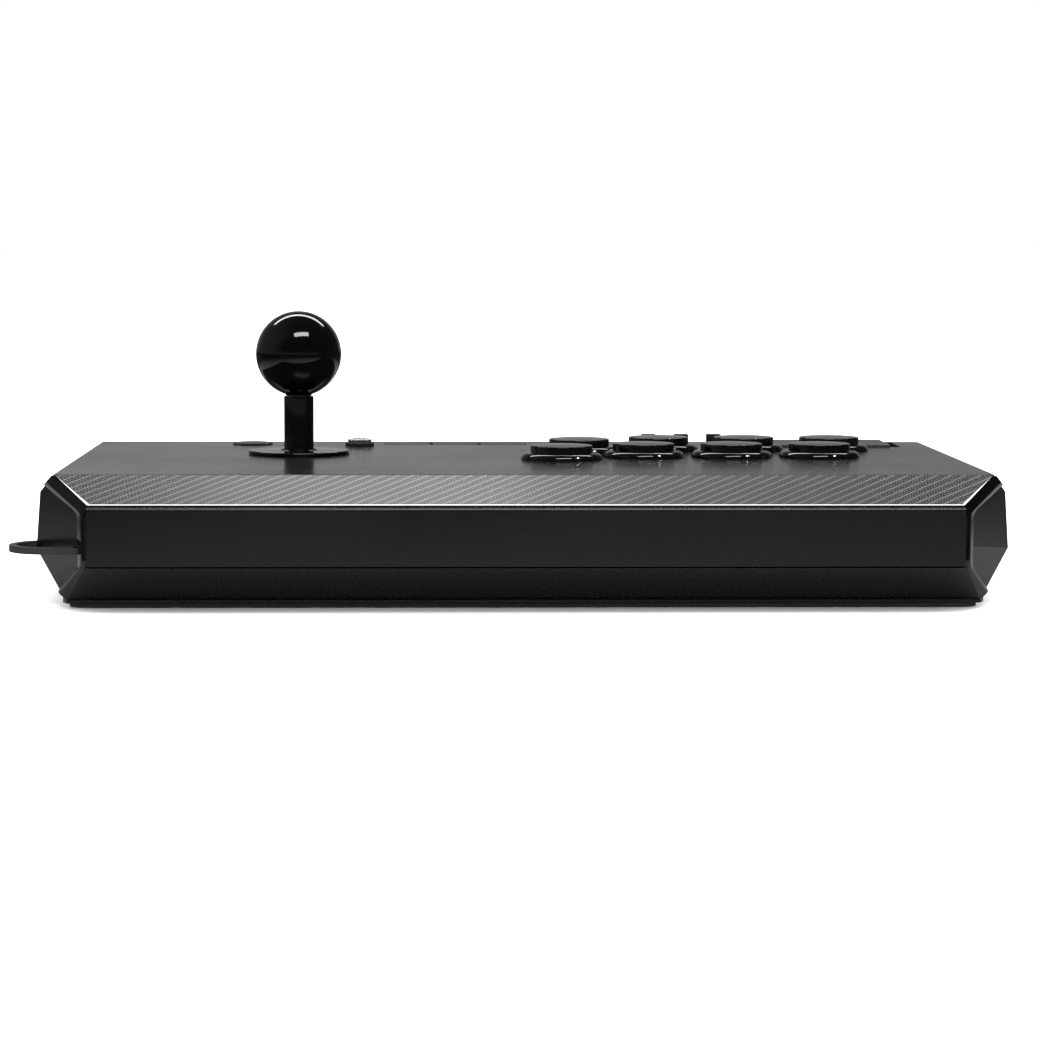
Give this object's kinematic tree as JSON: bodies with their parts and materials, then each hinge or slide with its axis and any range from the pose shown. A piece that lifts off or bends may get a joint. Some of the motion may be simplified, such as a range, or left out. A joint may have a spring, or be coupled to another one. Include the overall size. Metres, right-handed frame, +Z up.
{
  "type": "arcade joystick panel",
  "caption": "Free-standing arcade fight stick: a low six-sided case with a ball-top lever, a field of round push buttons and a strip of function controls along the back edge.",
  "frame": {"origin": "middle of the flat underside, on the desk surface", "axes": "+X to the player's right, +Y away from the player, +Z up"},
  "size_m": [0.3813, 0.2103, 0.1096],
  "materials": {
    "panel_satin": "satin dark grey powder coat",
    "trim_carbon": "woven carbon look under a clear film",
    "case_matte": "fine moulded texture",
    "gloss_black": "polished black",
    "rubber_black": "matt rubber",
    "plate_steel": "zinc plated",
    "lever_plastic": "glass filled nylon",
    "white_plastic": "acetal",
    "switch_plastic": "moulded",
    "button_gloss": "polished black",
    "key_plastic": "satin",
    "knob_metal": "knurled",
    "touch_satin": "fine satin",
    "board_green": "solder mask"
  },
  "bodies": {
    "case": {"base_pad": "rubber_black", "base_plate": "plate_steel", "base_screws": "plate_steel", "board_posts": "plate_steel", "button_1_housing": "button_gloss", "button_2_housing": "button_gloss", "button_3_housing": "button_gloss", "button_4_housing": "button_gloss", "button_5_housing": "button_gloss", "button_6_housing": "button_gloss", "button_7_housing": "button_gloss", "button_8_housing": "button_gloss", "button_switches": "switch_plastic", "carry_loop": "rubber_black", "chassis": "case_matte", "front_panel": "case_matte", "front_skirt": "case_matte", "front_trim": "trim_carbon", "function_board": "board_green", "left_corner_rib": "gloss_black", "left_side_cover": "case_matte", "lever_housing": "lever_plastic", "lever_mount_plate": "plate_steel", "lever_screws": "plate_steel", "lever_switches": "switch_plastic", "main_board": "board_green", "rear_panel": "case_matte", "restrictor_gate": "lever_plastic", "right_corner_rib": "gloss_black", "right_side_cover": "case_matte", "top_panel": "panel_satin", "touchpad_tray": "key_plastic", "usb_socket": "plate_steel"},
    "lever_gimbal": {"spring_seat": "plate_steel", "lever_spring": "plate_steel"},
    "lever": {"ball_top": "gloss_black", "lever_rod": "plate_steel", "shaft_cover": "gloss_black", "pivot_ball": "white_plastic", "actuator": "white_plastic", "retaining_clip": "plate_steel"},
    "washer_guide": {"inner_dust_washer": "lever_plastic"},
    "washer": {"dust_washer": "gloss_black"},
    "button_1": {"button_1_plunger": "button_gloss"},
    "button_2": {"button_2_plunger": "button_gloss"},
    "button_3": {"button_3_plunger": "button_gloss"},
    "button_4": {"button_4_plunger": "button_gloss"},
    "button_5": {"button_5_plunger": "button_gloss"},
    "button_6": {"button_6_plunger": "button_gloss"},
    "button_7": {"button_7_plunger": "button_gloss"},
    "button_8": {"button_8_plunger": "button_gloss"},
    "share_key_body": {"share_key": "key_plastic"},
    "options_key_body": {"options_key": "key_plastic"},
    "mode_key_body": {"mode_key": "key_plastic"},
    "home_button_body": {"home_button": "key_plastic"},
    "touchpad_body": {"touchpad": "touch_satin"},
    "knob": {"volume_knob": "knob_metal"},
    "slide_1": {"mode_slide_1": "key_plastic"},
    "slide_2": {"mode_slide_2": "key_plastic"},
    "slide_3": {"mode_slide_3": "key_plastic"}
  },
  "joints": [
    {"name": "lever_fore_aft", "type": "hinge", "parent": "case", "child": "lever_gimbal", "pos_m": [-0.09, 0.021, 0.036], "axis": [1, 0, 0], "range_deg": [-10.5, 10.5], "stiffness_Nm_per_rad": 1.6},
    {"name": "lever_left_right", "type": "hinge", "parent": "lever_gimbal", "child": "lever", "pos_m": [-0.09, 0.021, 0.036], "axis": [0, 1, 0], "range_deg": [-10.5, 10.5], "stiffness_Nm_per_rad": 1.6},
    {"name": "washer_fore_aft", "type": "slide", "parent": "case", "child": "washer_guide", "axis": [0, 1, 0], "range_m": [-0.0031, 0.0031]},
    {"name": "washer_left_right", "type": "slide", "parent": "washer_guide", "child": "washer", "axis": [1, 0, 0], "range_m": [-0.0031, 0.0031]},
    {"name": "button_1_press", "type": "slide", "parent": "case", "child": "button_1", "axis": [0, 0, -1], "range_m": [0, 0.0025], "stiffness_N_per_m": 250, "springref_m": -0.003},
    {"name": "button_2_press", "type": "slide", "parent": "case", "child": "button_2", "axis": [0, 0, -1], "range_m": [0, 0.0025], "stiffness_N_per_m": 250, "springref_m": -0.003},
    {"name": "button_3_press", "type": "slide", "parent": "case", "child": "button_3", "axis": [0, 0, -1], "range_m": [0, 0.0025], "stiffness_N_per_m": 250, "springref_m": -0.003},
    {"name": "button_4_press", "type": "slide", "parent": "case", "child": "button_4", "axis": [0, 0, -1], "range_m": [0, 0.0025], "stiffness_N_per_m": 250, "springref_m": -0.003},
    {"name": "button_5_press", "type": "slide", "parent": "case", "child": "button_5", "axis": [0, 0, -1], "range_m": [0, 0.0025], "stiffness_N_per_m": 250, "springref_m": -0.003},
    {"name": "button_6_press", "type": "slide", "parent": "case", "child": "button_6", "axis": [0, 0, -1], "range_m": [0, 0.0025], "stiffness_N_per_m": 250, "springref_m": -0.003},
    {"name": "button_7_press", "type": "slide", "parent": "case", "child": "button_7", "axis": [0, 0, -1], "range_m": [0, 0.0025], "stiffness_N_per_m": 250, "springref_m": -0.003},
    {"name": "button_8_press", "type": "slide", "parent": "case", "child": "button_8", "axis": [0, 0, -1], "range_m": [0, 0.0025], "stiffness_N_per_m": 250, "springref_m": -0.003},
    {"name": "share_key_press", "type": "slide", "parent": "case", "child": "share_key_body", "axis": [0, 0, -1], "range_m": [0, 0.0008], "stiffness_N_per_m": 400, "springref_m": -0.002},
    {"name": "options_key_press", "type": "slide", "parent": "case", "child": "options_key_body", "axis": [0, 0, -1], "range_m": [0, 0.0008], "stiffness_N_per_m": 400, "springref_m": -0.002},
    {"name": "mode_key_press", "type": "slide", "parent": "case", "child": "mode_key_body", "axis": [0, 0, -1], "range_m": [0, 0.0008], "stiffness_N_per_m": 400, "springref_m": -0.002},
    {"name": "home_button_press", "type": "slide", "parent": "case", "child": "home_button_body", "axis": [0, 0, -1], "range_m": [0, 0.0008], "stiffness_N_per_m": 400, "springref_m": -0.002},
    {"name": "touchpad_click", "type": "slide", "parent": "case", "child": "touchpad_body", "axis": [0, 0, -1], "range_m": [0, 0.0005], "stiffness_N_per_m": 600, "springref_m": -0.002},
    {"name": "volume_knob_turn", "type": "hinge", "parent": "case", "child": "knob", "pos_m": [-0.066, 0.068, 0.051], "axis": [0, 0, 1], "range_deg": [-140, 140]},
    {"name": "mode_slide_1_shift", "type": "slide", "parent": "case", "child": "slide_1", "axis": [1, 0, 0], "range_m": [-0.0018, 0.0018]},
    {"name": "mode_slide_2_shift", "type": "slide", "parent": "case", "child": "slide_2", "axis": [1, 0, 0], "range_m": [-0.0018, 0.0018]},
    {"name": "mode_slide_3_shift", "type": "slide", "parent": "case", "child": "slide_3", "axis": [1, 0, 0], "range_m": [-0.0018, 0.0018]}
  ],
  "couplings": [
    {"joint": "washer_fore_aft", "follows": "lever_fore_aft", "m_per_rad": -0.0163},
    {"joint": "washer_left_right", "follows": "lever_left_right", "m_per_rad": 0.0163}
  ]
}
